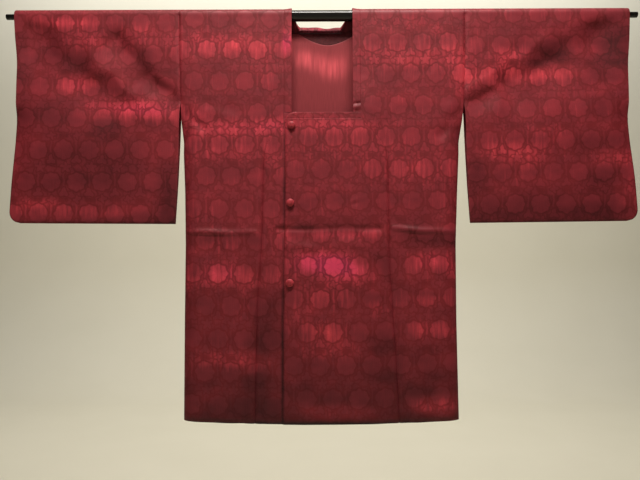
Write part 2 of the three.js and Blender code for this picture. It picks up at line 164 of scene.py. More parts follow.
# ------------------------------
# The lining. Plain crimson satin, sewn inside the yoke and, behind the coat's own silk, all the
# way down. Only the yoke's part is a piece of its own: it shows through the neck.

LEFT, RIGHT = 1, -1
WRAP = ROD_RADIUS / MM + 0.6 + 0.8  # middle of the cloth where it lies over the rod
ARC = WRAP * math.pi / 2  # cloth between the shoulder line and the level of the rod's axis
SEAM_GAP = 0.15  # half the gap between two pieces at a seam
WALL, THIN = 1.5, 1.1  # silk on its backing, satin

# Columns: drop from the rod's axis, half width, lean to one side, half depth.
BODY_SECTIONS = (
    (0, 302.0, 0.0, 12.9), (60, 302.0, 0.0, 13.0), (190, 297.6, 0.0, 13.8),
    (233, 295.0, -1.5, 14.0), (278, 288.8, -2.6, 14.2), (298, 289.3, -2.8, 14.3),
    (382, 285.2, -3.2, 14.8), (490, 281.8, -4.6, 15.0), (655, 281.7, -5.4, 14.6),
    (860, 282.6, -4.4, 14.0),
)
EASE = 9.0  # the corners at a table's rows are rounded over this length, above and below
LAP_DEPTH, LAP_FLAT_TO, LAP_FADE_TO, LAP_START, LAP_FULL = 3.6, 88.0, 150.0, 110.0, 204.0
FOLDS_BELOW = 40.0  # the folds reach their full height this far below the rod
FOLD_WANDER, FOLD_UNEVENNESS = 0.16, 0.2  # of its half width to each side, of its height

# Folds. Columns: x and drop of both ends, half width, and how far the cloth stands out along
# the line, or sinks in if below 0.
FRONT_FOLDS = (
    (-290, 463, -140, 465, 6, 4.4), (-290, 470, -140, 472, 16, 1.6),  # storage fold, a ridge
    (146, 457, 286, 466, 6, 4.2), (146, 464, 286, 473, 16, 1.6),
    (-92, 458, 118, 456, 6, -2.8), (-92, 470, 60, 466, 16, -1.2),  # the same, sunk on the lap
    (-72, 492, -20, 496, 8, 1.8), (20, 488, 96, 492, 11, 1.0), (-150, 520, -158, 590, 9, -1.4),
    (-288, 214, -250, 244, 9, -2.6), (-236, 196, -180, 206, 12, -0.8),  # under the arms
    (-246, 205, -190, 222, 12, 0.7), (288, 214, 250, 262, 12, -2.8), (270, 200, 226, 236, 14, 0.8),
    (-163, 610, -168, 858, 12, -2.2), (-188, 560, -196, 858, 16, 1.3),  # beside the bands
    (184, 560, 194, 858, 18, 1.7), (168, 640, 178, 858, 10, -1.3),
    (-262, 540, -255, 858, 18, 1.3), (252, 520, 262, 858, 20, 1.2),
    (-30, 560, -38, 858, 22, 0.9), (54, 600, 62, 858, 24, -0.8),
    (62, 399, 70, 397, 4, 1.1), (60, 405, 72, 404, 4, -0.9),  # over a press stud
)
BACK_FOLDS = (
    (-286, 466, 286, 461, 8, -2.4), (-286, 478, 286, 474, 14, 1.2),
    (-150, 120, -156, 858, 18, 1.8), (158, 240, 150, 858, 22, 2.0),
    (-282, 214, -226, 262, 11, -2.6), (284, 212, 232, 254, 11, -2.4),
    (-60, 300, -66, 858, 26, 1.1), (70, 420, 62, 858, 24, -1.0),
    (-250, 560, -244, 858, 18, -1.3), (246, 500, 240, 858, 20, 1.3),
)

# Brighter patches of the dyed warp, and a few painted highlights. Columns: x, drop, half width,
# half height, strength, pink.
BRIGHT_DYE_AND_HIGHLIGHTS = (
    (-546, 18, 72, 12, 0.7, 0.2), (-518, 147, 40, 18, 0.8, 0.3), (-408, 200, 100, 20, 0.9, 0.4),
    (-340, 214, 50, 16, 0.6, 0.2), (-525, 416, 120, 16, 0.6, 0.0), (-600, 400, 50, 10, 0.5, 0.0),
    (-500, 56, 50, 22, 0.5, 0.2), (-390, 50, 34, 28, 0.35, 0.2), (-280, 60, 70, 30, 0.25, 0.2),
    (426, 130, 130, 18, 0.75, 0.1), (395, 292, 72, 20, 0.75, 0.1), (612, 308, 56, 18, 0.7, 0.0),
    (470, 250, 60, 14, 0.35, 0.1), (560, 160, 60, 16, 0.3, 0.0), (400, 90, 44, 16, 0.45, 0.2),
    (430, 322, 26, 16, 0.4, 0.0), (284, 118, 30, 50, 0.35, 0.2), (640, 380, 30, 40, 0.4, 0.0),
    (-195, 70, 110, 26, 0.65, 0.2), (-180, 246, 110, 20, 0.75, 0.3), (-100, 236, 30, 16, 0.5, 0.3),
    (-180, 292, 130, 26, 0.4, 0.3), (-75, 62, 12, 30, 0.8, 1.0), (-250, 210, 30, 16, 0.4, 0.3),
    (-212, 544, 44, 22, 0.8, 0.4), (-240, 566, 60, 16, 0.45, 0.1), (-120, 562, 60, 18, 0.35, 0.1),
    (-205, 724, 76, 18, 0.65, 0.0), (-140, 738, 40, 16, 0.5, 0.0), (-230, 460, 50, 14, 0.3, 0.2),
    (25, 240, 82, 20, 0.7, 0.3), (90, 296, 120, 26, 0.35, 0.2), (20, 470, 110, 10, 0.55, 0.5),
    (0, 528, 76, 26, 1.0, 0.9), (60, 550, 64, 24, 0.75, 0.4), (6, 582, 50, 20, 0.5, 0.1),
    (6, 668, 44, 22, 0.75, 0.0), (20, 706, 70, 20, 0.5, 0.0), (170, 94, 120, 26, 0.6, 0.1),
    (224, 524, 52, 20, 0.75, 0.3), (272, 548, 20, 18, 0.6, 0.2), (228, 662, 52, 20, 0.75, 0.1),
    (224, 818, 52, 16, 0.9, 0.0), (110, 240, 60, 16, 0.35, 0.1), (250, 330, 60, 40, 0.35, 0.2),
    (-60, 640, 40, 30, 0.3, 0.0), (190, 750, 30, 30, 0.3, 0.0), (-90, 480, 24, 40, 0.35, 0.2),
    (270, 430, 40, 40, 0.25, 0.1), (560, 80, 30, 20, 0.3, 0.0), (140, 24, 60, 22, 0.3, 0.2),
    # (0, 24) is a painted highlight on the back neck's rim; (-40, 90), (-14, 98) and (22, 110) are
    # painted sheen streaks on the lining seen through the neck.
    (250, 40, 40, 18, 0.4, 0.1), (0, 24, 52, 12, 0.8, 0.8), (-40, 90, 18, 18, 0.9, 0.0),
    (-14, 98, 20, 20, 0.6, 0.0), (22, 110, 28, 22, 1.0, 0.0), (150, 335, 60, 22, 0.4, 0.1),
    (-262, 430, 40, 16, 0.4, 0.1), (-215, 492, 40, 14, 0.35, 0.1), (-285, 552, 16, 30, 0.4, 0.2),
    (392, 110, 40, 30, 0.35, 0.1), (312, 130, 20, 40, 0.35, 0.1), (225, 606, 50, 14, 0.45, 0.1),
    (20, 832, 70, 18, 0.45, 0.0), (0, 606, 50, 16, 0.35, 0.1), (118, 622, 28, 16, 0.35, 0.0),
    (-158, 600, 18, 50, 0.35, 0.0), (-95, 325, 22, 20, 0.4, 0.1), (-120, 110, 30, 40, 0.3, 0.1),
    (-268, 225, 18, 14, 0.35, 0.1),
)
# Darker stretches, columns as above, none pink. Most are painted shade: a line along the hem (0,
# 857), a shadow beside the over-front's free edge (x -79.6 to -83.2), and shade along the sleeves'
# folds at (-572, 84), (-527, 112), (-482, 146), (446, 114) and (392, 140). The row at (0, 880)
# darkens the lower body towards the hem; the rest darken the silk in stretches.
DARK_DYE_AND_PAINTED_SHADE = (
    (-482, 146, 34, 20, -0.3), (-372, 90, 20, 26, -0.25), (510, 84, 50, 16, -0.15),
    (0, 857, 290, 5, -0.6), (-79.6, 330, 3.2, 110, -0.5), (-81.2, 520, 3.2, 100, -0.5),
    (-83.2, 730, 3.2, 130, -0.5), (-560, 205, 60, 34, -0.3), (-455, 225, 34, 44, -0.35),
    (-527, 112, 34, 24, -0.3), (-325, 208, 26, 22, -0.3), (-250, 88, 60, 26, -0.2),
    (492, 84, 30, 26, -0.35), (570, 130, 60, 50, -0.25), (600, 340, 50, 40, -0.3),
    (110, 540, 40, 34, -0.35), (95, 236, 34, 18, -0.25), (195, 800, 34, 50, -0.25),
    (115, 694, 40, 18, -0.25), (-500, 330, 120, 70, -0.3), (-650, 120, 34, 120, -0.25),
    (-572, 84, 34, 22, -0.25), (-460, 440, 190, 34, -0.28), (-318, 380, 26, 90, -0.35),
    (-350, 130, 40, 40, -0.2), (590, 400, 80, 34, -0.2), (620, 70, 50, 70, -0.45),
    (596, 285, 60, 26, -0.3), (450, 440, 190, 44, -0.42), (312, 330, 30, 70, -0.35),
    (446, 114, 34, 18, -0.6), (392, 140, 26, 12, -0.4), (0, 880, 420, 120, -0.38),
    (-110, 660, 40, 60, -0.3), (165, 740, 60, 40, -0.2), (230, 478, 70, 26, -0.3),
    (236, 650, 36, 18, -0.25), (-36, 462, 26, 20, -0.3), (84, 220, 40, 24, -0.2),
    (-138, 756, 26, 70, -0.28),
)

MERGED_WITHIN, EDGE_SHARE = 0.04, 0.08  # of points; of the wall, for the rounding of its edges
DYE_SIDES, DYE_ENDS = 3, 2.5  # how sharply a patch ends across and along the warp

FACING_DROP, FACING_RISE, FACING_HALF, FACING_MIDDLE = 60.0, 25, 62, 12
LINING_HALF, LINING_LOWER, LINING_RISE = 140.0, 330.0, 35.0
INSIDE = -(WALL + THIN) / 2 - 0.4  # middle of the lining from the middle of the back's silk


def smooth(t):
    """0 to 1 with soft ends."""
    t = np.clip(t, 0, 1)
    return t * t * (3 - 2 * t)


def mix(a, b, t):
    """a where t is 0, b where it is 1."""
    return a + (b - a) * t


def at_drop(table, column, drop):
    """A column of a table at each drop, with the corners at its rows eased."""
    levels = [row[0] for row in table]
    values = [row[column] for row in table]
    shifts = (-EASE, 0.0, 0.0, EASE)
    return sum(np.interp(drop + shift, levels, values) for shift in shifts) / len(shifts)


def fold_relief(folds, x, drop, lee=1.0):
    """How far a set of folds moves the cloth at each (x, drop). The lower side of a fold is lee
    times as wide as its upper side."""
    troughs, ridges = np.zeros_like(x), np.zeros_like(x)
    for x1, drop1, x2, drop2, half_width, height in folds:
        run_x, run_drop = x2 - x1, drop2 - drop1
        length = math.hypot(run_x, run_drop)
        along = ((x - x1) * run_x + (drop - drop1) * run_drop) / length ** 2
        t = np.clip(along, 0, 1)
        past_end = (along - t) * length / half_width
        below = ((drop - drop1) * run_x - (x - x1) * run_drop) * math.copysign(1, run_x) / length
        below = below / half_width + FOLD_WANDER * np.sin(9 * t + x1)
        away = np.hypot(np.where(below > 0, below / lee, below), past_end)
        uneven = 1 - FOLD_UNEVENNESS * (1 - np.cos(6 * t + drop1))
        fold = height * uneven * np.exp(-away * away)
        troughs, ridges = np.minimum(troughs, fold), np.maximum(ridges, fold)
    return troughs + ridges


def body_depth(front, hand, x, drop):
    """Half depth of the body at each (x, drop); front is True where it is the front's."""
    across = smooth((LAP_FADE_TO - x) / (LAP_FADE_TO - LAP_FLAT_TO))
    lap = LAP_DEPTH * across * smooth((drop - LAP_START) / (LAP_FULL - LAP_START))
    relief = np.where(front, fold_relief(FRONT_FOLDS, x, drop), fold_relief(BACK_FOLDS, x, drop))
    lap = np.where(front & (hand == LEFT), lap, 0)
    return at_drop(BODY_SECTIONS, 3, drop) + lap + smooth(drop / FOLDS_BELOW) * relief


def facing_edge(x):
    """Drop of the facing's lower edge, which is cut in a shallow curve."""
    off_middle = np.minimum(np.abs(x - FACING_MIDDLE) / FACING_HALF, 1)
    return FACING_DROP - FACING_RISE * off_middle ** 1.7


def laid(x, y, drop):
    """Points of a sheet, and their place in the cloth, which is as wide as it lies."""
    return np.stack([x, y, -drop], axis=-1), np.stack([x, drop + ARC], axis=-1)


def read_points(elements, key="co"):
    """A vector of each element of a mesh, one row each."""
    flat = np.empty(len(elements) * 3)
    elements.foreach_get(key, flat)
    return flat.reshape(-1, 3)


def sheet_of_cloth(name, columns, rows, shape, phase, wall, turn_over, keep=None):
    """A grid of cloth. shape(column, row) gives the middle surface and the cloth's own
    coordinates, all in millimetres; the grid is then thickened to a wall. turn_over is True
    where the grid would otherwise face inwards, and keep says which cells there are."""
    take_up()
    bpy.ops.mesh.primitive_grid_add(x_subdivisions=columns, y_subdivisions=rows, size=2)
    obj = bpy.context.object
    obj.name = name
    mesh = obj.data
    mesh.name = name
    corners = (read_points(mesh.vertices)[:, :2] + 1) / 2 * (columns, rows)
    cells = (read_points(mesh.polygons, "center")[:, :2] + 1) / 2 * (columns, rows)
    points, cloth = shape(*np.rint(corners).T)
    mesh.vertices.foreach_set("co", (points * MM).ravel())

    corner_vertex = np.empty(len(mesh.loops), dtype=int)
    mesh.loops.foreach_get("vertex_index", corner_vertex)
    uv = (cloth - (phase[0], phase[1] + ARC)) * MM
    mesh.uv_layers[0].name = "cloth"
    mesh.uv_layers[0].data.foreach_set("uv", uv[corner_vertex].ravel())

    # Each point takes the bright patches of dye and painted highlight, and the darker stretches of
    # dye and painted shade, as attributes.
    patches = {"dye_and_painted_light": np.zeros(len(points)), "pink": np.zeros(len(points))}
    for x, drop, half_width, half_height, strength, pinkness in (
            *BRIGHT_DYE_AND_HIGHLIGHTS, *((*stretch, 0) for stretch in DARK_DYE_AND_PAINTED_SHADE)):
        off_x = np.abs((points[:, 0] - x) / half_width) ** DYE_SIDES
        off_drop = np.abs((-points[:, 2] - drop) / half_height) ** DYE_ENDS
        patch = strength * np.exp(-off_x - off_drop)
        patches["dye_and_painted_light"] += patch
        patches["pink"] += patch * pinkness
    for label, values in patches.items():
        mesh.attributes.new(label, "FLOAT", "POINT").data.foreach_set("value", values)

    if keep is not None:
        pick_faces(obj, ~keep(cells[:, 0], cells[:, 1]))
        bpy.ops.mesh.delete(type="FACE")
    pick_faces(obj, np.ones(len(mesh.polygons), dtype=bool))
    bpy.ops.mesh.remove_doubles(threshold=MERGED_WITHIN * MM)
    bpy.ops.mesh.select_all(action="SELECT")
    if turn_over:
        bpy.ops.mesh.flip_normals()
    finish_with(obj, "SOLIDIFY", thickness=wall * MM, offset=0, use_rim=True, material_offset=1)
    finish_with(obj, "BEVEL", width=EDGE_SHARE * wall * MM, segments=2, limit_method="ANGLE",
                angle_limit=math.radians(65))
    take_up(obj)
    bpy.ops.object.shade_smooth_by_angle(angle=math.radians(50))
    return obj


def drawn_out(add, place, width, length, detail, thickness=1000):
    """Noise whose grain has this size in millimetres along x, y and z of the place."""
    scale = [1 / (side * MM) for side in (width, length, thickness)]
    space = add("VectorMath", {0: place, 1: scale}, "MULTIPLY")
    return add("TexNoise", {"Vector": space, "Scale": 1.0, "Detail": detail})


# Crimson satin: floats of warp lie side by side, so it is smooth. Its bright lengthways streaks
# are painted sheen, laid where the attribute's bright patches are; fine noise adds the weave.
satin, add = new_material("crimson_satin_lining")
lining_uv = add("UVMap", uv_map="cloth")
streaks = drawn_out(add, lining_uv, 8, 90, 4.0)
fine = drawn_out(add, lining_uv, 1.6, 30, 1.0)
sheen_patch = add("Attribute", attribute_name="dye_and_painted_light").outputs["Fac"]
streak_share = add("MapRange", {"Value": streaks, "From Min": 0.18, "From Max": 0.66})
weave_and_painted_sheen = add("Math", {0: streak_share, 1: sheen_patch}, "MULTIPLY")
weave_and_painted_sheen = add("Math", {0: fine, 1: 0.22, 2: weave_and_painted_sheen}, "MULTIPLY_ADD")
satin_colour = add("Mix", {
    "Factor": weave_and_painted_sheen, 6: srgb("#7a272c"), 7: srgb("#d4525a")}, data_type="RGBA")
satin_bump = add("Bump", {"Height": fine, "Strength": 0.25, "Distance": 0.2 * MM})
satin_shader = add("BsdfPrincipled", {
    "Base Color": satin_colour, "Roughness": 0.45, "Specular IOR Level": 0.3, "Sheen Weight": 0.06,
    "Sheen Roughness": 0.35, "Normal": satin_bump})
add("OutputMaterial", {"Surface": satin_shader})

LINING_COLUMNS, LINING_ROWS = 110, 110
LINING_SLACK = 0.5  # the inner cloths lie this much further in, and the satin ripples round it


def yoke_surface(column, row):
    """Inside of the back, from under the neck's facing to a curved lower edge."""
    x = mix(-LINING_HALF, LINING_HALF, column / LINING_COLUMNS)
    lower = LINING_LOWER - LINING_RISE * (x / LINING_HALF) ** 2
    drop = mix(facing_edge(x) + SEAM_GAP, lower, row / LINING_ROWS)
    slack = 0.7 * np.sin(x / 23) * smooth((drop - 60) / 80) * np.sin(drop / 60)
    depth = body_depth(False, LEFT, x, drop) + INSIDE - LINING_SLACK * (1 - slack)
    return laid(x, depth, drop)


yoke_lining = sheet_of_cloth("yoke_satin", LINING_COLUMNS, LINING_ROWS, yoke_surface, (0, 0),
                             THIN, turn_over=True)
dress(yoke_lining, "satin_lining", [satin], "yoke_lining")


# ------------------------------
# The coat's two halves. Each is one width of figured silk that runs from the front hem over the
# rod to the back hem, closed at the side seam and open under the arm. The backs meet in a seam.

# Columns: drop, distance from the centre to the seam of the over band and of the under band,
# and to a front's free edge.
BAND_LINES = (
    (225, 80.5, 80.5, 78.0), (245, 97.0, 94.0, 78.0), (265, 116.0, 110.0, 78.0),
    (290, 133.0, 121.0, 78.1), (340, 137.0, 124.8, 78.6), (500, 137.4, 127.6, 80.3),
    (604, 141.7, 135.8, 81.4), (706, 148.5, 138.2, 82.6), (860, 155.2, 140.6, 84.0),
)

# Woven repeat: flowers in staggered rows. Each part has x and drop of one flower's middle.
REPEAT_X, REPEAT_Y = 53.4, 134.8
PHASES = {"left": (159.1, 198.1), "right": (-189.5, 78.9), "over": (51.0, 198.1),
          "under": (-136.0, 78.9), "sleeve_left": (457.2, 137.0), "sleeve_right": (-489.5, 154.6)}

# Figured silk: a satin ground with flowers, leaves and stars woven in the same crimson, so they
# only catch the light differently. The warp is dyed in uneven patches that bleed along it. Painted
# sheen tints the figure paler and bluer than the ground, and some patches are painted highlight
# and painted shade.
silk, add = new_material("figured_silk_satin")
FLOWER_RADIUS = 19.3 * MM
REPEAT = (REPEAT_X * MM, REPEAT_Y * MM, 1)
cloth_uv = add("UVMap", uv_map="cloth")
unevenness = add("TexNoise", {
    "Vector": cloth_uv, "Scale": 1 / (14 * MM), "Detail": 2.0}).outputs["Color"]
shift = add("VectorMath", {0: unevenness, 1: (0.5, 0.5, 0.5)}, "SUBTRACT")
woven_uv = add("VectorMath", {0: shift, 1: (8 * MM, 8 * MM, 0), 2: cloth_uv}, "MULTIPLY_ADD")
repeats = add("VectorMath", {0: woven_uv, 1: REPEAT}, "DIVIDE")


def from_motif(centre_x, centre_y):
    """Vector in metres from the nearest middle of a motif that repeats at this centre."""
    moved = add("VectorMath", {0: repeats, 1: (0.5 - centre_x, 0.5 - centre_y, 0)}, "ADD")
    within = add("VectorMath", {0: moved}, "FRACTION")
    middle = add("VectorMath", {0: within, 1: (0.5, 0.5, 0)}, "SUBTRACT")
    real = add("VectorMath", {0: middle, 1: (*REPEAT[:2], 0)}, "MULTIPLY")
    return real


def polar(vector):
    """Length and angle of a vector in the cloth's plane."""
    length = add("VectorMath", {0: vector}, "LENGTH")
    parts = add("SeparateXYZ", {0: vector})
    angle = add("Math", {0: parts.outputs[1], 1: parts.outputs[0]}, "ARCTAN2")
    return length, angle


def lobed(place, radius, lobes, depth, turn):
    """1 inside an outline with rounded lobes, 0 outside, and the distance beyond it."""
    length, angle = place
    phase = add("Math", {0: angle, 1: float(lobes), 2: turn}, "MULTIPLY_ADD")
    wave = add("Math", {0: phase}, "COSINE")
    outline = add("Math", {0: wave, 1: radius * depth, 2: radius}, "MULTIPLY_ADD")
    beyond = add("Math", {0: length, 1: outline}, "SUBTRACT")
    inside = add("MapRange", {
        "Value": beyond, "From Min": -1.6 * MM, "From Max": 1.6 * MM, "To Min": 1.0, "To Max": 0.0
    }, interpolation_type="SMOOTHSTEP")
    return inside, beyond


even_place, odd_place = polar(from_motif(0, 0)), polar(from_motif(0.5, 0.5))
is_odd = add("Math", {0: odd_place[0], 1: even_place[0]}, "LESS_THAN")
to_heart = add("Math", {0: even_place[0], 1: odd_place[0]}, "MINIMUM")
flower_angle = add("Mix", {"Factor": is_odd, 2: even_place[1], 3: odd_place[1]})
flower, beyond_flower = lobed((to_heart, flower_angle), FLOWER_RADIUS, 8, 0.05, 0.0)

# Fine lines between the petals, which stop at the flower's heart.
petal_phase = add("Math", {0: flower_angle, 1: 4.0, 2: math.pi / 2}, "MULTIPLY_ADD")
petal_wave = add("Math", {0: petal_phase}, "SINE")
petal_wave = add("Math", {0: petal_wave}, "ABSOLUTE")
petal_line = add("MapRange", {
    "Value": petal_wave, "From Min": 0.0, "From Max": 0.5, "To Min": 1.0, "To Max": 0.0})
off_heart = add("MapRange", {
    "Value": to_heart, "From Min": 0.2 * FLOWER_RADIUS, "From Max": 0.5 * FLOWER_RADIUS})
petals = add("Math", {0: petal_line, 1: off_heart}, "MULTIPLY")
petals = add("Math", {0: petals, 1: flower}, "MULTIPLY")

# Between the flowers the cloth is full of small leaves, each with a dark line round it.
leafage = add("TexVoronoi", {
    "Vector": woven_uv, "Scale": 1 / (17 * MM), "Randomness": 0.8
}, feature="DISTANCE_TO_EDGE", voronoi_dimensions="2D")
figure = add("MapRange", {
    "Value": leafage, "From Min": 0.01, "From Max": 0.18, "To Min": 0.15, "To Max": 0.85})


def bar(centre_x, centre_y, half_width, half_height, edge):
    """1 inside an upright bar that repeats at this centre, 0 outside, all in millimetres."""
    parts = add("SeparateXYZ", {0: from_motif(centre_x, centre_y)})
    ends = []
    for part, half in ((parts.outputs[0], half_width), (parts.outputs[1], half_height)):
        far = add("Math", {0: part}, "ABSOLUTE")
        ends.append(add("MapRange", {
            "Value": far, "From Min": (half - edge) * MM, "From Max": (half + edge) * MM,
            "To Min": 1.0, "To Max": 0.0}))
    return add("Math", {0: ends[0], 1: ends[1]}, "MULTIPLY")


# Plain dark gaps, and in those between the flowers of a row a thin stem. Columns: place in the
# repeat, half width and half height in mm, softness of the edge, level of the figure inside.
BARS = (
    (0.00, 0.785, 10.0, 5.0, 2.0, 0.1),
    (0.50, 0.000, 6.0, 17.0, 2.0, 0.2), (0.00, 0.500, 6.0, 17.0, 2.0, 0.2),
    (0.50, 0.000, 1.8, 19.0, 1.0, 0.85), (0.00, 0.500, 1.8, 19.0, 1.0, 0.85),
)
for bar_x, bar_y, half_width, half_height, edge, level in BARS:
    figure = add("Mix", {
        "Factor": bar(bar_x, bar_y, half_width, half_height, edge), 2: figure, 3: level})
# Leaves and stars. Columns: place in the repeat, radius in mm, lobes, depth, turn, strength.
MOTIFS = (
    (0.50, 0.160, 8.0, 3, 0.36, -1.57, 0.95), (0.00, 0.672, 8.0, 3, 0.36, -1.57, 0.95),  # leaves
    (0.08, 0.275, 8.8, 5, 0.36, 1.57, 1.00), (0.52, 0.775, 6.6, 4, 0.34, 0.80, 0.90),  # stars
)
for motif_x, motif_y, radius, lobes, depth, turn, strength in MOTIFS:
    inside, beyond = lobed(polar(from_motif(motif_x, motif_y)), radius * MM, lobes, depth, turn)
    clear = add("MapRange", {"Value": beyond, "From Min": 1.2 * MM, "From Max": 4.2 * MM})
    figure = add("Math", {0: figure, 1: clear}, "MULTIPLY")
    figure = add("Math", {0: inside, 1: strength, 2: figure}, "MULTIPLY_ADD")
off_flower = add("MapRange", {"Value": beyond_flower, "From Min": 1.6 * MM, "From Max": 5.0 * MM})
figure = add("Math", {0: figure, 1: off_flower}, "MULTIPLY")
figure = add("Math", {0: petals, 1: -0.18, 2: figure}, "MULTIPLY_ADD")
figure = add("Math", {0: flower, 1: figure}, "ADD")


# Thread streaks, drawn some four times coarser than they are, so that they show.
warp = drawn_out(add, cloth_uv, 2.2, 38, 2.0)
bleed = drawn_out(add, cloth_uv, 6, 50, 3.0)  # ragged ends of the dyed patches
cloud = drawn_out(add, cloth_uv, 110, 46, 2.0)  # broad bands where the dye took more or less
mottle = drawn_out(add, cloth_uv, 24, 24, 3.0)
# Each flower has its own brightness: noise read at the middle of its cell.
cell = add("VectorMath", {0: is_odd, 1: (-0.5, -0.5, 0), 2: (0.5, 0.5, 0)}, "MULTIPLY_ADD")
cell = add("VectorMath", {0: repeats, 1: cell}, "ADD")
cell = add("VectorMath", {0: cell}, "FLOOR")
chance = add("TexWhiteNoise", {"Vector": cell}, noise_dimensions="2D")
flower_gain = add("Math", {0: chance, 1: flower}, "MULTIPLY")

dye_and_painted_light = add("Attribute", attribute_name="dye_and_painted_light").outputs["Fac"]
pink = add("Attribute", attribute_name="pink").outputs["Fac"]
ragged = add("Math", {0: bleed, 1: 1.4, 2: -0.7}, "MULTIPLY_ADD")
bright_dye_and_highlight = add("Math", {0: dye_and_painted_light, 1: ragged}, "ADD")
bright_dye_and_highlight = add("MapRange", {"Value": bright_dye_and_highlight, "From Min": 0.1, "From Max": 1.0})
# The figure takes the bright dye and the painted highlights, the ground between much less of it.
figure_in_dye_and_highlight = add("Math", {0: bright_dye_and_highlight, 1: figure}, "MULTIPLY")
# The silk is darker towards the hem, and the figure shows less there.
along = add("SeparateXYZ", {0: cloth_uv}).outputs[1]
depth_share = add("Math", {0: along}, "ABSOLUTE")
figure_show = add("MapRange", {
    "Value": depth_share, "From Min": 0.28, "From Max": 0.62, "To Min": 1.0, "To Max": 0.42})
figure_shown = add("Math", {0: figure, 1: figure_show}, "MULTIPLY")
# The darker stretches, mostly painted shade, darken the silk by half their strength.
painted_shade_and_dark_dye = add("Math", {0: dye_and_painted_light, 1: 0.0}, "MINIMUM")
tone = 0.11
for mask, weight in ((figure_shown, 0.115), (flower_gain, 0.05), (figure_in_dye_and_highlight, 0.30), (bright_dye_and_highlight, 0.12),
                     (warp, 0.09), (cloud, 0.34), (mottle, 0.16), (depth_share, -0.08),
                     (painted_shade_and_dark_dye, 0.5)):
    tone = add("Math", {0: mask, 1: weight, 2: tone}, "MULTIPLY_ADD")
shade = add("ValToRGB", {"Fac": tone})
stops = shade.color_ramp.elements
stops[0].position, stops[0].color = 0.0, srgb("#26080b")
stops[1].position, stops[1].color = 1.0, srgb("#dc4248")
for position, colour in ((0.25, "#56161a"), (0.45, "#762227"), (0.65, "#982c32"),
                         (0.85, "#bc383d")):
    stop = stops.new(position)
    stop.color = srgb(colour)
pink_share = add("Math", {0: pink, 1: bright_dye_and_highlight}, "MULTIPLY")
pink_share = add("Math", {0: pink_share, 1: 0.75}, "MULTIPLY", use_clamp=True)
# The ground is tinted a deeper red and the figure paler and bluer: painted sheen, for the light
# the figure's satin floats catch.
figure_sheen_tint = add("Mix", {
    "Factor": figure, 6: (1.03, 0.82, 0.86, 1), 7: (0.98, 1.10, 1.20, 1)}, data_type="RGBA")
pinked = add("Mix", {
    "Factor": pink_share, 6: figure_sheen_tint, 7: (0.95, 0.8, 1.9, 1)}, data_type="RGBA")
silk_colour = add("Mix", {
    "Factor": 1.0, 6: shade, 7: pinked}, data_type="RGBA", blend_type="MULTIPLY")
silk_gloss = add("MapRange", {"Value": figure, "To Min": 0.60, "To Max": 0.50})
weave_height = add("Math", {0: warp, 1: 0.5, 2: figure}, "MULTIPLY_ADD")
slack_noise = add("TexNoise", {"Vector": cloth_uv, "Scale": 1 / (45 * MM), "Detail": 2.0})
slack_bump = add("Bump", {"Height": slack_noise, "Strength": 0.5, "Distance": 3 * MM})
weave_bump = add("Bump", {
    "Height": weave_height, "Strength": 0.3, "Distance": 0.25 * MM, "Normal": slack_bump})
silk_shader = add("BsdfPrincipled", {
    "Base Color": silk_colour, "Roughness": silk_gloss, "Specular IOR Level": 0.22,
    "Sheen Weight": 0.05, "Sheen Roughness": 0.4, "Sheen Tint": srgb("#d88088"),
    "Normal": weave_bump})
add("OutputMaterial", {"Surface": silk_shader})

SIDES = {LEFT: "left", RIGHT: "right"}
BODY_LENGTH, HEM_RISE, HEM_CURVE, HEM_HALF = 856.8, 7.3, 2.2, 282.0
HEM_ROLL, HEM_ROLL_HEIGHT = 3.2, 4.6
SLEEVE_LENGTH, BAG_CURVE, TOUCH = 444.0, 2, 0.95
ARMHOLE_DEPTH, SIDE_SEAM_TOP, SIDE_CLOSING, SIDE_TURN = 190.0, 288.0, 38.0, 30.0
NECK_HALF, NECK_BACK, SIDE_BAND = 64.4, 20.5, 15.9
FRAME_OUTER = NECK_HALF + SIDE_BAND
FRAME_GAP = 0.03  # half the gap at the frame's seams, which are pressed flat
BAND_SEAM_GAP = 0.32
# The cloth sinks beside its seams: at the bands, and as shares of that in the back and armholes.
SEAM_DIP, SEAM_WIDTH, BACK_SEAM_DIP, ARMHOLE_DIP = 2.3, 2.6, 0.35, 0.8
# The drop at which the gap and the dips set in or end, and the length over which they do.
SLANT_END, BAND_SEAM_FROM, BACK_SEAM_FROM, ARMHOLE_END = (260, 50), (280, 60), (90, 60), (180, 20)
HALF_COLUMNS, CENTRE_COLUMNS, TURN_COLUMNS, HALF_ROWS = 98, 22, 12, 460
CLOTH_LENGTH = BODY_LENGTH + ARC


def hem_share(x):
    """How long the cloth hangs at x, as a share of its length at the centre."""
    return 1 - HEM_RISE / BODY_LENGTH * (np.abs(x) / HEM_HALF) ** HEM_CURVE


def sleeve_taper(drop):
    """Half depth inside a sleeve: open from the rod down, closed at its bottom."""
    return mix(WRAP, TOUCH, np.clip(drop / SLEEVE_LENGTH, 0, 1) ** BAG_CURVE)


def edge_depth(drop):
    """Half depth at the very side: it narrows down the armhole and ends at the side seam."""
    closing = (drop - ARMHOLE_DEPTH) / (SIDE_SEAM_TOP - ARMHOLE_DEPTH)
    return mix(sleeve_taper(np.minimum(drop, ARMHOLE_DEPTH)), 0, smooth(closing))


def fade(drop, start, length):
    """0 above a drop, 1 from this length further down."""
    return smooth((drop - start) / length)


def at_seam(distance):
    """1 at a seam, 0 a few millimetres from it."""
    return np.exp(-(distance / SEAM_WIDTH) ** 2)


def seam_gap(drop):
    """Half the gap at a band's seam: none where it slants from the neck, nor at the hem."""
    return BAND_SEAM_GAP * fade(drop, *SLANT_END) * smooth((BODY_LENGTH - drop) / 12)


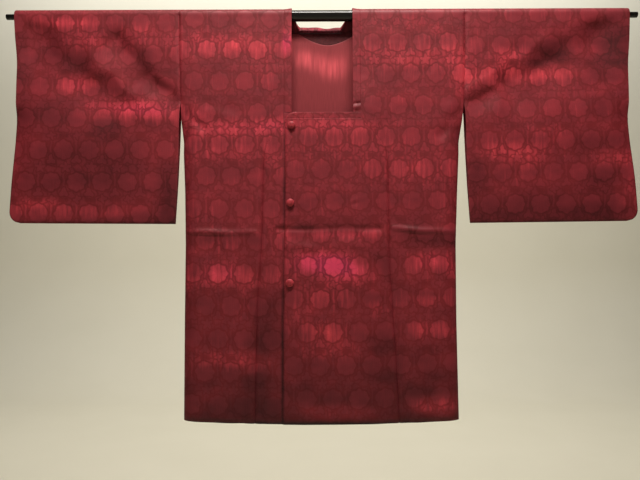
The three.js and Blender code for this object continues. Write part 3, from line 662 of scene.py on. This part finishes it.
def over_rod(x, length, hang, depth, lift=0.0):
    """Points of cloth at a signed length from the shoulder line, below 0 on the front.
    hang scales what hangs below the rod, and depth(x, drop) is the half depth there."""
    drop = np.maximum(np.abs(length) - ARC, 0) * hang
    angle = np.minimum(np.abs(length) / ARC, 1) * math.pi / 2
    radius = WRAP + lift
    depth_there = np.where(drop > 0, depth(x, drop) + lift, radius * np.sin(angle))
    z = np.where(drop > 0, -drop, radius * np.cos(angle))
    return np.stack([x, np.sign(length) * depth_there, z], axis=-1)


def rolled_hem(level):
    """How far the cloth turns in at the hem, towards its lining."""
    return HEM_ROLL * np.exp(-((BODY_LENGTH - level) / HEM_ROLL_HEIGHT) ** 2)


def coat_half(hand, seam):
    """Front and back of one side in one piece of cloth."""

    def shape(column, row):
        length = (row / HALF_ROWS * 2 - 1) * CLOTH_LENGTH
        front = length < 0
        drop = np.maximum(np.abs(length) - ARC, 0)
        side_x = at_drop(BODY_SECTIONS, 1, drop) - SEAM_GAP
        turn_x = side_x - SIDE_TURN
        inner = np.where(front, at_drop(BAND_LINES, seam, drop) + seam_gap(drop),
                         FRAME_OUTER + FRAME_GAP)
        flat_columns = HALF_COLUMNS - CENTRE_COLUMNS - TURN_COLUMNS
        flat_share = (column - CENTRE_COLUMNS) / flat_columns
        turn_share = np.clip((flat_share - 1) * flat_columns / TURN_COLUMNS, 0, 1)
        turn_angle = (1 - turn_share) * math.pi / 2
        out = np.where(flat_share < 0, mix(SEAM_GAP, inner, column / CENTRE_COLUMNS),
                       np.where(flat_share <= 1, mix(inner, turn_x, flat_share),
                                turn_x + SIDE_TURN * np.cos(turn_angle)))
        x = hand * out + at_drop(BODY_SECTIONS, 2, drop) * smooth((out - inner) / (turn_x - inner))
        open_turn = np.sin(math.pi / 2 * np.clip((side_x - out) / SIDE_TURN, 0, 1))
        closed = smooth((drop - SIDE_SEAM_TOP + SIDE_CLOSING) / SIDE_CLOSING)
        turn = mix(open_turn, np.sin(turn_angle), closed)
        sunk = at_seam(np.where(front, out - inner, out))
        sunk *= np.where(front, fade(drop, *BAND_SEAM_FROM),
                         BACK_SEAM_DIP * fade(drop, *BACK_SEAM_FROM))
        armhole = at_seam(side_x - out) * (1 - fade(drop, *ARMHOLE_END))

        def depth(px, pdrop):
            full = body_depth(front, hand, px, pdrop) - SEAM_DIP * sunk - rolled_hem(drop)
            return mix(edge_depth(pdrop), full, turn) - ARMHOLE_DIP * SEAM_DIP * armhole

        points = over_rod(x, length, hem_share(x), depth)
        return points, np.stack([x, -length], axis=-1)

    def keep(column, row):
        length = (row / HALF_ROWS * 2 - 1) * CLOTH_LENGTH
        return (column > CENTRE_COLUMNS) | (length > NECK_BACK + SIDE_BAND + SEAM_GAP + ARC)

    side = SIDES[hand]
    piece = sheet_of_cloth(f"coat_{side}", HALF_COLUMNS, HALF_ROWS, shape, PHASES[side], WALL,
                           turn_over=hand == RIGHT, keep=keep)
    dress(piece, "figured_silk", [silk, satin], f"front_{side}", f"back_{side}")


coat_half(LEFT, 1)
coat_half(RIGHT, 2)


# ------------------------------
# The edge bands. Each front ends in a wide straight strip of the same silk, sewn on in a seam
# that slants out from the neck's corner. The wearer's left laps over the right.

LAPS = {LEFT: "over", RIGHT: "under"}
NECK_FRONT, FRONT_BAND, CORNER_RADIUS = 212.7, 12.6, 20.0
BAND_TOP = NECK_FRONT + FRONT_BAND + FRAME_GAP
BAND_COLUMNS, BAND_ROWS, CROWDING = 116, 200, 1.2  # columns are closer at the free edge
EDGE_ROLL, EDGE_ROLL_WIDTH = 1.9, 2.4  # the free edge is turned in and pressed, not sharply
EDGE_SWELL, EDGE_SINK = 0.5, -0.3  # the free edge isn't held, and waves a little


def free_edge(drop):
    """Distance from the centre to a front's free edge, with its rounded upper corner."""
    into_corner = np.clip(1 - (drop - NECK_FRONT) / CORNER_RADIUS, 0, 1)
    return at_drop(BAND_LINES, 3, drop) - CORNER_RADIUS * (1 - np.sqrt(1 - into_corner ** 2))


def rolled_edge(hand, x, level):
    """How far the over-front's free edge is turned back; the under-front's is hidden."""
    from_edge = hand * x + free_edge(level)
    return EDGE_ROLL * np.exp(-(from_edge / EDGE_ROLL_WIDTH) ** 2) * (hand == LEFT)


def edge_band(hand, seam):
    """A front's band, from its seam past the centre to its free edge."""

    def shape(column, row):
        level = mix(BODY_LENGTH, BAND_TOP, row / BAND_ROWS)
        seam_x = at_drop(BAND_LINES, seam, level) - seam_gap(level)
        x = hand * mix(-free_edge(level), seam_x, (column / BAND_COLUMNS) ** CROWDING)
        drop = level * hem_share(x)
        sunk = SEAM_DIP * at_seam(seam_x - hand * x) * fade(level, *BAND_SEAM_FROM)
        swell = EDGE_SWELL * np.sin(drop / 47 + 1.1) * np.exp(-(hand * x + 80) / 18)
        depth = body_depth(True, hand, x, drop) - sunk + np.maximum(swell, EDGE_SINK)
        depth -= rolled_edge(hand, x, level) + rolled_hem(level)
        # The band is cut along its free edge, so its figure drifts from the front's.
        cloth_x = x + hand * (at_drop(BAND_LINES, 3, level) - BAND_LINES[0][3])
        return np.stack([x, -depth, -drop], axis=-1), np.stack([cloth_x, level + ARC], axis=-1)

    lap = LAPS[hand]
    piece = sheet_of_cloth(f"edge_band_{lap}", BAND_COLUMNS, BAND_ROWS, shape, PHASES[lap], WALL,
                           turn_over=hand == RIGHT)
    dress(piece, "figured_silk", [silk, satin], f"front_band_{lap}")


edge_band(LEFT, 1)
edge_band(RIGHT, 2)


# ------------------------------
# The sleeves. Each is one length of silk folded over the rod and sewn up along the bottom and
# up the outer edge to the cuff, which stays open for the hand.

FRONT, BACK = -1, 1
SLEEVE_RISE, CUFF_DEPTH, CUFF_CLOSING = 3.0, 225.0, 40.0
SLEEVE_EDGE_TURN, SLEEVE_CORNER = 45.0, 25.0
# Columns: drop, distance from the centre to the inner and to the outer end.
SLEEVE_SECTIONS = (
    (0, 302.3, 651.0), (60, 302.3, 648.5), (110, 300.7, 645.0), (190, 298.0, 644.5),
    (212, 300.7, 645.0), (278, 302.0, 647.5), (362, 304.7, 653.0), (444, 308.5, 657.0),
)
# Folds slant from the outer shoulder down to the underarm; x is measured out from the centre.
SLEEVE_FOLDS = {
    (RIGHT, FRONT): (
        (604, 56, 512, 130, 34, -10.6), (512, 130, 428, 184, 28, -10.2),
        (436, 56, 372, 130, 20, -8.6), (372, 130, 306, 184, 13, -6.8),
        (345, 408, 326, 420, 9, -1.8), (330, 396, 318, 404, 8, 0.9),
        (580, 250, 420, 262, 30, 0.9), (560, 330, 350, 340, 34, -0.8)),
    (LEFT, FRONT): (
        (586, 50, 490, 100, 33, -10.2), (490, 100, 394, 154, 29, -10.4),
        (394, 154, 303, 194, 12, -5.6), (372, 120, 300, 166, 6, 1.2),
        (610, 200, 480, 214, 30, 0.9), (600, 300, 380, 318, 36, -0.8),
        (470, 40, 400, 86, 16, -1.2)),
    (RIGHT, BACK): (
        (560, 34, 372, 150, 16, -3.6), (396, 60, 306, 168, 13, -3.0),
        (600, 210, 470, 300, 26, 1.6)),
    (LEFT, BACK): (
        (590, 40, 430, 140, 15, -3.4), (440, 60, 306, 172, 14, -3.6),
        (560, 230, 420, 330, 26, 1.4)),
}
SLEEVE_LEE = 2.4  # the slack below these folds fades out slowly
SLACK_DEPTH, SLACK_BELOW = 7, 30  # the folds fade where the sleeve is thinner, and near the rod
SLEEVE_FLARE = {LEFT: 5.0, RIGHT: 1.5}  # how much further out the lower corner hangs
FLARE_LENGTH, CUFF_CROWDING, CUFF_SEAM = 150, 1.15, 6
SEWN_ROUNDING, BOTTOM_ROUNDING, SEWN_LEAST = 1.2, 2.0, 0.3
SLEEVE_COLUMNS, SLEEVE_ROWS = 112, 300


def sleeve_outer(hand, drop):
    """Distance from the centre to a sleeve's outer end, with the rounded lower corner."""
    into_corner = np.clip((drop - SLEEVE_LENGTH + SLEEVE_CORNER) / SLEEVE_CORNER, 0, 1)
    rounding = SLEEVE_CORNER * (1 - np.sqrt(1 - into_corner ** 2))
    flare = SLEEVE_FLARE[hand] * fade(drop, CUFF_DEPTH, FLARE_LENGTH)
    return at_drop(SLEEVE_SECTIONS, 2, drop) + flare - rounding


def sleeve(hand):
    """Front and back of one sleeve in one piece, open at the armhole and at the cuff."""

    def shape(column, row):
        share = row / SLEEVE_ROWS * 2 - 1
        length = share * (SLEEVE_LENGTH + ARC)
        front = length < 0
        level = np.maximum(np.abs(length) - ARC, 0)
        across = column / SLEEVE_COLUMNS
        inner = at_drop(SLEEVE_SECTIONS, 1, level) + SEAM_GAP
        outer = sleeve_outer(hand, level)
        out = mix(inner, outer, 1 - (1 - across) ** CUFF_CROWDING)
        hang = 1 - SLEEVE_RISE / SLEEVE_LENGTH * across

        def depth(px, drop):
            taper = sleeve_taper(drop)
            from_end = np.clip((sleeve_outer(hand, drop) - out) / SLEEVE_EDGE_TURN, 0, 1)
            closed = smooth((drop - CUFF_DEPTH + CUFF_CLOSING) / CUFF_CLOSING)
            bag = mix(taper, TOUCH, closed * (1 - np.sin(math.pi / 2 * from_end)))
            loose = np.clip((bag - TOUCH) / SLACK_DEPTH, 0, 1) * smooth(drop / SLACK_BELOW)
            relief = np.where(front, fold_relief(SLEEVE_FOLDS[hand, FRONT], out, drop, SLEEVE_LEE),
                              fold_relief(SLEEVE_FOLDS[hand, BACK], out, drop, SLEEVE_LEE))
            armhole = SEAM_DIP * at_seam(out - inner) * (1 - fade(drop, *ARMHOLE_END))
            sewn_edge = np.sqrt(np.clip((outer - out) / SEWN_ROUNDING, 0, 1))
            sewn_bottom = np.sqrt(np.clip((SLEEVE_LENGTH - level) / BOTTOM_ROUNDING, 0, 1))
            sewn = np.minimum(mix(1, sewn_edge, fade(level, CUFF_DEPTH, CUFF_SEAM)), sewn_bottom)
            return np.maximum(bag + loose * relief - armhole, SEWN_LEAST) * sewn

        points = over_rod(hand * out, length, hang, depth)
        return points, np.stack([hand * out, -length], axis=-1)

    name = f"sleeve_{SIDES[hand]}"
    piece = sheet_of_cloth(name, SLEEVE_COLUMNS, SLEEVE_ROWS, shape, PHASES[name], WALL,
                           turn_over=hand == RIGHT)
    dress(piece, "figured_silk", [silk, satin], f"{name}_front", f"{name}_back")


sleeve(LEFT)
sleeve(RIGHT)


# ------------------------------
# The neck's frame. A narrow folded band of the silk round the square opening: two sides over the
# shoulders, one along the top of each front and one along the back, with a facing inside it.

# Puckers in the left side band, pulled in by the press stud sewn behind it. Columns as folds.
STUD_PUCKERS = (
    (60, 196, 78, 193, 3.0, -1.8), (62, 204, 79, 201, 3.4, 0.9), (64, 210, 76, 211, 2.4, -1.0),
)
DOUBLED = 2.3
FLUSH = (DOUBLED - WALL) / 2  # a band's middle lies this much behind the silk's, so they're level
STAND, STAND_LENGTH, SIDE_LEAN, LEAN_FROM = 2.6, 13, 9.0, (4, 24)
SIDE_CROWN, SIDE_SLACK, STRIP_CROWN = 0.3, 0.5, 0.1
NECK_SAG, NECK_CLIMB = 4.5, 13.5  # of the back neck's edge: along its middle, at its ends
NECK_CORNER_FROM, NECK_CORNER, NECK_SHIFT = 43, 15, 4
NECK_LEAN, LEAN_CURVE, CORNER_UPRIGHT = 12.0, 2.2, 0.7
FACING_TOP, FACING_BELOW, FACING_BELOW_CORNER = 7.0, 15.1, 0.6
BACK_SEAM = NECK_BACK + SIDE_BAND - SEAM_GAP
BACK_STRIP_SHARE, BACK_STRIP_OUT = 0.995, 0.4  # it clears the side bands, and lies over them
SIDE_COLUMNS, SIDE_ROWS = 10, 170
FRONT_STRIP_COLUMNS, BACK_STRIP_COLUMNS, STRIP_ROWS = 90, 96, 8


def side_band(hand):
    """Shape of the band beside the neck, from the front's corner over the rod to the back."""
    front_length = NECK_FRONT - SEAM_GAP + ARC
    back_length = BACK_SEAM + ARC

    def shape(column, row):
        across = column / SIDE_COLUMNS
        length = mix(-front_length, back_length, row / SIDE_ROWS)
        front = length < 0
        x = mix(NECK_HALF, FRAME_OUTER - FRAME_GAP, across)
        # Over the rod the folded edge stands up a little, and behind it leans to the centre.
        stand = STAND * np.exp(-(length / STAND_LENGTH) ** 2) * (1 - across) ** 2
        lean = SIDE_LEAN * fade(length, *LEAN_FROM) * (1 - across)
        crown = SIDE_CROWN * (1 - (2 * across - 1) ** 2)
        puckers = np.where(front & (hand == LEFT), 1.0, 0.0)

        def depth(px, drop):
            slack = SIDE_SLACK * np.sin(drop / 19 + 2 * hand) * (1 - across)
            return (body_depth(front, hand, px, drop) + slack
                    + puckers * fold_relief(STUD_PUCKERS, x, drop))

        points = over_rod(hand * (x - lean), length, 1.0, depth, crown - FLUSH)
        points[:, 2] += stand
        return points, np.stack([hand * x, -length], axis=-1)

    return shape


def front_strip(hand, seam):
    """Shape of the band along the top of a front, up to its rounded free corner."""

    def shape(column, row):
        drop = mix(NECK_FRONT + FRONT_BAND - FRAME_GAP, NECK_FRONT + FRAME_GAP, row / STRIP_ROWS)
        share = (column / FRONT_STRIP_COLUMNS) ** CROWDING
        x = hand * mix(-free_edge(drop), at_drop(BAND_LINES, seam, drop) - FRAME_GAP, share)
        crown = STRIP_CROWN * (1 - (2 * row / STRIP_ROWS - 1) ** 2)
        depth = body_depth(True, hand, x, drop) + crown - FLUSH
        depth -= rolled_edge(hand, x, drop)
        return laid(x, -depth, drop)

    return shape


def at_corner(x):
    """0 along the back neck's free edge, 1 where the edge is sewn to the side bands."""
    return smooth((np.abs(x + NECK_SHIFT) - NECK_CORNER_FROM) / NECK_CORNER)


def neck_edge(x):
    """Drop of the back neck's upper edge: it sags and ripples, and climbs to the rod's sides."""
    ripple = 1.4 * np.sin(x / 13 + 0.6) + 0.7 * np.sin(x / 6.1)
    return NECK_BACK - NECK_SAG + ripple * (1 - at_corner(x)) - NECK_CLIMB * at_corner(x)


def neck_lean(x, drop):
    """How far the back neck leans away from the rod: most at its edge, not at all at its seam."""
    share = np.clip((drop - neck_edge(x)) / (BACK_SEAM - neck_edge(x)), 0, 1)
    return NECK_LEAN * (1 - share ** LEAN_CURVE)


def back_strip(column, row):
    """Shape of the band along the back neck; its folded edge leans back, clear of the rod."""
    x = mix(-NECK_HALF, NECK_HALF, column / BACK_STRIP_COLUMNS) * BACK_STRIP_SHARE
    drop = mix(neck_edge(x), BACK_SEAM, row / STRIP_ROWS)
    roll = neck_lean(x, drop) * (1 - CORNER_UPRIGHT * at_corner(x))
    depth = body_depth(False, LEFT, x, drop) + BACK_STRIP_OUT + roll
    return laid(x, depth, drop)


# Columns: piece, grid, shape, whose figure it goes on with, whether the grid is turned over, the
# node it stands for, flat size and area, and what holds it.
NECK_BANDS = (
    ("neck_side_left", (SIDE_COLUMNS, SIDE_ROWS), side_band(LEFT), "left", False,
     "neck_frame_left", (0.016, 0.289), None, "display_rod"),
    ("neck_side_right", (SIDE_COLUMNS, SIDE_ROWS), side_band(RIGHT), "right", True,
     "neck_frame_right", (0.016, 0.289), None, "display_rod"),
    ("neck_top_over", (FRONT_STRIP_COLUMNS, STRIP_ROWS), front_strip(LEFT, 1), "over", False,
     "neck_frame_over", (0.158, 0.0126), 0.00186, "edge_band_over"),
    ("neck_top_under", (FRONT_STRIP_COLUMNS, STRIP_ROWS), front_strip(RIGHT, 2), "under", True,
     "neck_frame_under", (0.158, 0.0126), 0.00186, "edge_band_under"),
    ("neck_back", (BACK_STRIP_COLUMNS, STRIP_ROWS), back_strip, "left", True,
     "neck_frame_back", (0.128, 0.036), 0.0037, "coat_left"),
)
for name, grid, shape, phase, turn_over, node, flat, area, holder in NECK_BANDS:
    band = sheet_of_cloth(name, *grid, shape, PHASES[phase], DOUBLED, turn_over)
    dress(band, "figured_silk", [silk, silk], node)


def facing_surface(column, row):
    """Shape of the facing inside the back neck, which follows the band's upper edge."""
    x = mix(-FRAME_OUTER, FRAME_OUTER, column / BACK_STRIP_COLUMNS)
    below = mix(FACING_BELOW, FACING_BELOW_CORNER, at_corner(x))
    upper = np.maximum(neck_edge(x) + below, FACING_TOP)
    drop = mix(upper, facing_edge(x) - SEAM_GAP, row / (2 * STRIP_ROWS))
    roll = neck_lean(x, drop) * (1 - at_corner(x))
    depth = body_depth(False, LEFT, x, drop) + INSIDE - LINING_SLACK + roll
    return laid(x, depth, drop)


neck_facing = sheet_of_cloth("neck_facing_silk", BACK_STRIP_COLUMNS, 2 * STRIP_ROWS,
                             facing_surface, PHASES["right"], THIN, turn_over=True)
# Its silk is painted darker all over: painted shade, for the deep shade inside the back neck.
facing_painted_shade = neck_facing.data.attributes["dye_and_painted_light"].data
facing_painted_shade.foreach_set("value", np.full(len(facing_painted_shade), -0.5))
dress(neck_facing, "figured_silk", [silk, silk], "neck_facing")


# ------------------------------
# The buttons. A domed metal button is wrapped in a round of the silk, gathered behind it, and
# sewn to the over-front beside its free edge.

BUTTON_RADIUS, BUTTON_HEIGHT, BUTTON_RIM, BUTTON_SHANK = 8.25, 5.6, 1.4, 0.3
GATHERS, GATHER_DEPTH, DRAWN_IN = 22, 0.02, 0.35  # folds of silk at the rim, drawn in behind it
BUTTONS = (("button_top", -64.4, 240.0), ("button_middle", -67.2, 402.4),
           ("button_lower", -68.6, 568.3))

# The coat's silk pulled tight over the dome, so its figure is stretched and it shines more.
button_silk, add = new_material("silk_stretched_on_button")
button_place = add("TexCoord").outputs["Object"]
button_warp = drawn_out(add, button_place, 0.8, 6, 2.0, thickness=6)
button_figure = add("TexNoise", {"Vector": button_place, "Scale": 1 / (9 * MM), "Detail": 1.0})
button_tone = add("Math", {0: button_warp, 1: 0.4, 2: button_figure}, "MULTIPLY_ADD")
button_tone = add("MapRange", {"Value": button_tone, "From Min": 0.45, "From Max": 0.95})
button_colour = add("Mix", {
    "Factor": button_tone, 6: srgb("#86242c"), 7: srgb("#b23a42")}, data_type="RGBA")
button_bump = add("Bump", {"Height": button_warp, "Strength": 0.3, "Distance": 0.2 * MM})
button_shader = add("BsdfPrincipled", {
    "Base Color": button_colour, "Roughness": 0.48, "Specular IOR Level": 0.2,
    "Sheen Weight": 0.04, "Normal": button_bump})
add("OutputMaterial", {"Surface": button_shader})

for button_name, button_x, button_drop in BUTTONS:
    take_up()
    bpy.ops.mesh.primitive_uv_sphere_add(segments=64, ring_count=48, radius=1)
    button = bpy.context.object
    button.name = button_name + "_covered"
    across, up, out = read_points(button.data.vertices).T
    low = np.clip(-out, 0, 1)
    gathers = GATHER_DEPTH * np.cos(GATHERS * np.arctan2(up, across))
    gathers = 1 + gathers * np.exp(-((out + 0.15) / 0.3) ** 2)
    radius = BUTTON_RADIUS * gathers * (1 - DRAWN_IN * low ** 2)
    height = np.where(out > 0, BUTTON_RIM + out * (BUTTON_HEIGHT - BUTTON_RIM),
                      BUTTON_RIM * (1 - low ** 1.5))
    ground = body_depth(True, LEFT, button_x, button_drop) + WALL / 2 + BUTTON_SHANK
    placed = np.stack([button_x + radius * across, -ground - height, -button_drop + radius * up],
                      axis=-1)
    button.data.vertices.foreach_set("co", (placed * MM).ravel())
    take_up(button)
    bpy.ops.object.mode_set(mode="EDIT")
    bpy.ops.mesh.select_all(action="SELECT")
    bpy.ops.mesh.normals_make_consistent(inside=False)
    bpy.ops.object.mode_set(mode="OBJECT")
    bpy.ops.object.shade_smooth()
    dress(button, "covered_button", [button_silk], button_name)


# ------------------------------
# The studio. A pale floor that sweeps up into a wall well behind the coat, a long soft lamp
# near the ceiling in front of it, and weak fill from the room.

# In metres, and where along the sweep the bend starts and ends.
FLOOR_DROP, WALL_BEHIND, WALL_HEIGHT, STAGE_HALF, BEND_RADIUS = 1.36, 3.3, 4.0, 6.0, 0.9
BEND_START, BEND_END = 0.5, 0.7

take_up()
bpy.ops.mesh.primitive_grid_add(x_subdivisions=2, y_subdivisions=60, size=2)
sweep = bpy.context.object
sweep.name = "studio_sweep"
across, along, _ = read_points(sweep.data.vertices).T
run = (along + 1) / 2
angle = np.clip((run - BEND_START) / (BEND_END - BEND_START), 0, 1) * math.pi / 2
bend_y = WALL_BEHIND - BEND_RADIUS
sweep_y = np.where(run < BEND_START, mix(-STAGE_HALF, bend_y, run / BEND_START),
                   bend_y + BEND_RADIUS * np.sin(angle))
rise = np.clip((run - BEND_END) / (1 - BEND_END), 0, 1) * WALL_HEIGHT
sweep_z = -FLOOR_DROP + BEND_RADIUS * (1 - np.cos(angle)) + rise
swept = np.stack([across * STAGE_HALF, sweep_y, sweep_z], axis=-1)
sweep.data.vertices.foreach_set("co", swept.ravel())
take_up(sweep)
bpy.ops.object.shade_smooth()
paper, add = new_material("pale_backdrop_paper")
paper_place = add("TexCoord").outputs["Object"]
paper_mottle = add("TexNoise", {"Vector": paper_place, "Scale": 3.0, "Detail": 3.0})
paper_colour = add("Mix", {
    "Factor": paper_mottle, 6: srgb("#dcd7c4"), 7: srgb("#e2ddcb")}, data_type="RGBA")
paper_shader = add("BsdfPrincipled", {"Base Color": paper_colour, "Roughness": 0.9})
add("OutputMaterial", {"Surface": paper_shader})
sweep.data.materials.append(paper)

# Soft rectangular lamps. Columns: name; place, aim and size in metres; watts; colour.
LAMPS = (
    ("ceiling_lamp", (0.05, -0.80, 1.60), (0, 0, -0.2), (1.2, 0.25), 78, "#fffaf2"),
    ("room_fill", (-0.6, -3.0, -0.2), (0, 0, -0.3), (3.0, 2.2), 5, "#fff8ee"),
    ("wall_wash", (0.0, 2.3, 2.3), (0, 3.3, 1.6), (5.0, 0.5), 58, "#fdfdff"),
    ("floor_wash", (0.0, 1.5, 0.3), (0, 2.9, -1.2), (4.0, 0.6), 12, "#fffbf2"),
)
for name, place, aim, size, power, colour in LAMPS:
    take_up()
    bpy.ops.object.light_add(type="AREA", location=place)
    light = bpy.context.object
    light.name = name
    light.data.shape = "RECTANGLE"
    light.data.size, light.data.size_y = size
    light.data.energy = power
    light.data.color = srgb(colour)[:3]
    light.rotation_euler = (Vector(aim) - Vector(place)).to_track_quat("-Z", "Y").to_euler()

world = bpy.data.worlds.new("studio_air")
bpy.context.scene.world = world
world.use_nodes = True
world.node_tree.nodes["Background"].inputs["Color"].default_value = srgb("#f2efe8")
world.node_tree.nodes["Background"].inputs["Strength"].default_value = 0.07

# Camera: level with the coat's middle, 1.26 m in front of it and pitched up a little.
CAMERA_PLACE = (-6.3 * MM, -1255 * MM, -545 * MM)
CAMERA_PITCH, CAMERA_ROLL = 3.0, 0.22
CAMERA_SENSOR, CAMERA_LENS = 36.0, 33.75
take_up()
bpy.ops.object.camera_add(
    location=CAMERA_PLACE,
    rotation=(math.radians(90 + CAMERA_PITCH), math.radians(CAMERA_ROLL), 0))
camera = bpy.context.object
camera.name = "camera"
camera.data.sensor_width = CAMERA_SENSOR
camera.data.lens = CAMERA_LENS
bpy.context.scene.camera = camera
bpy.context.scene.view_settings.view_transform = "Standard"
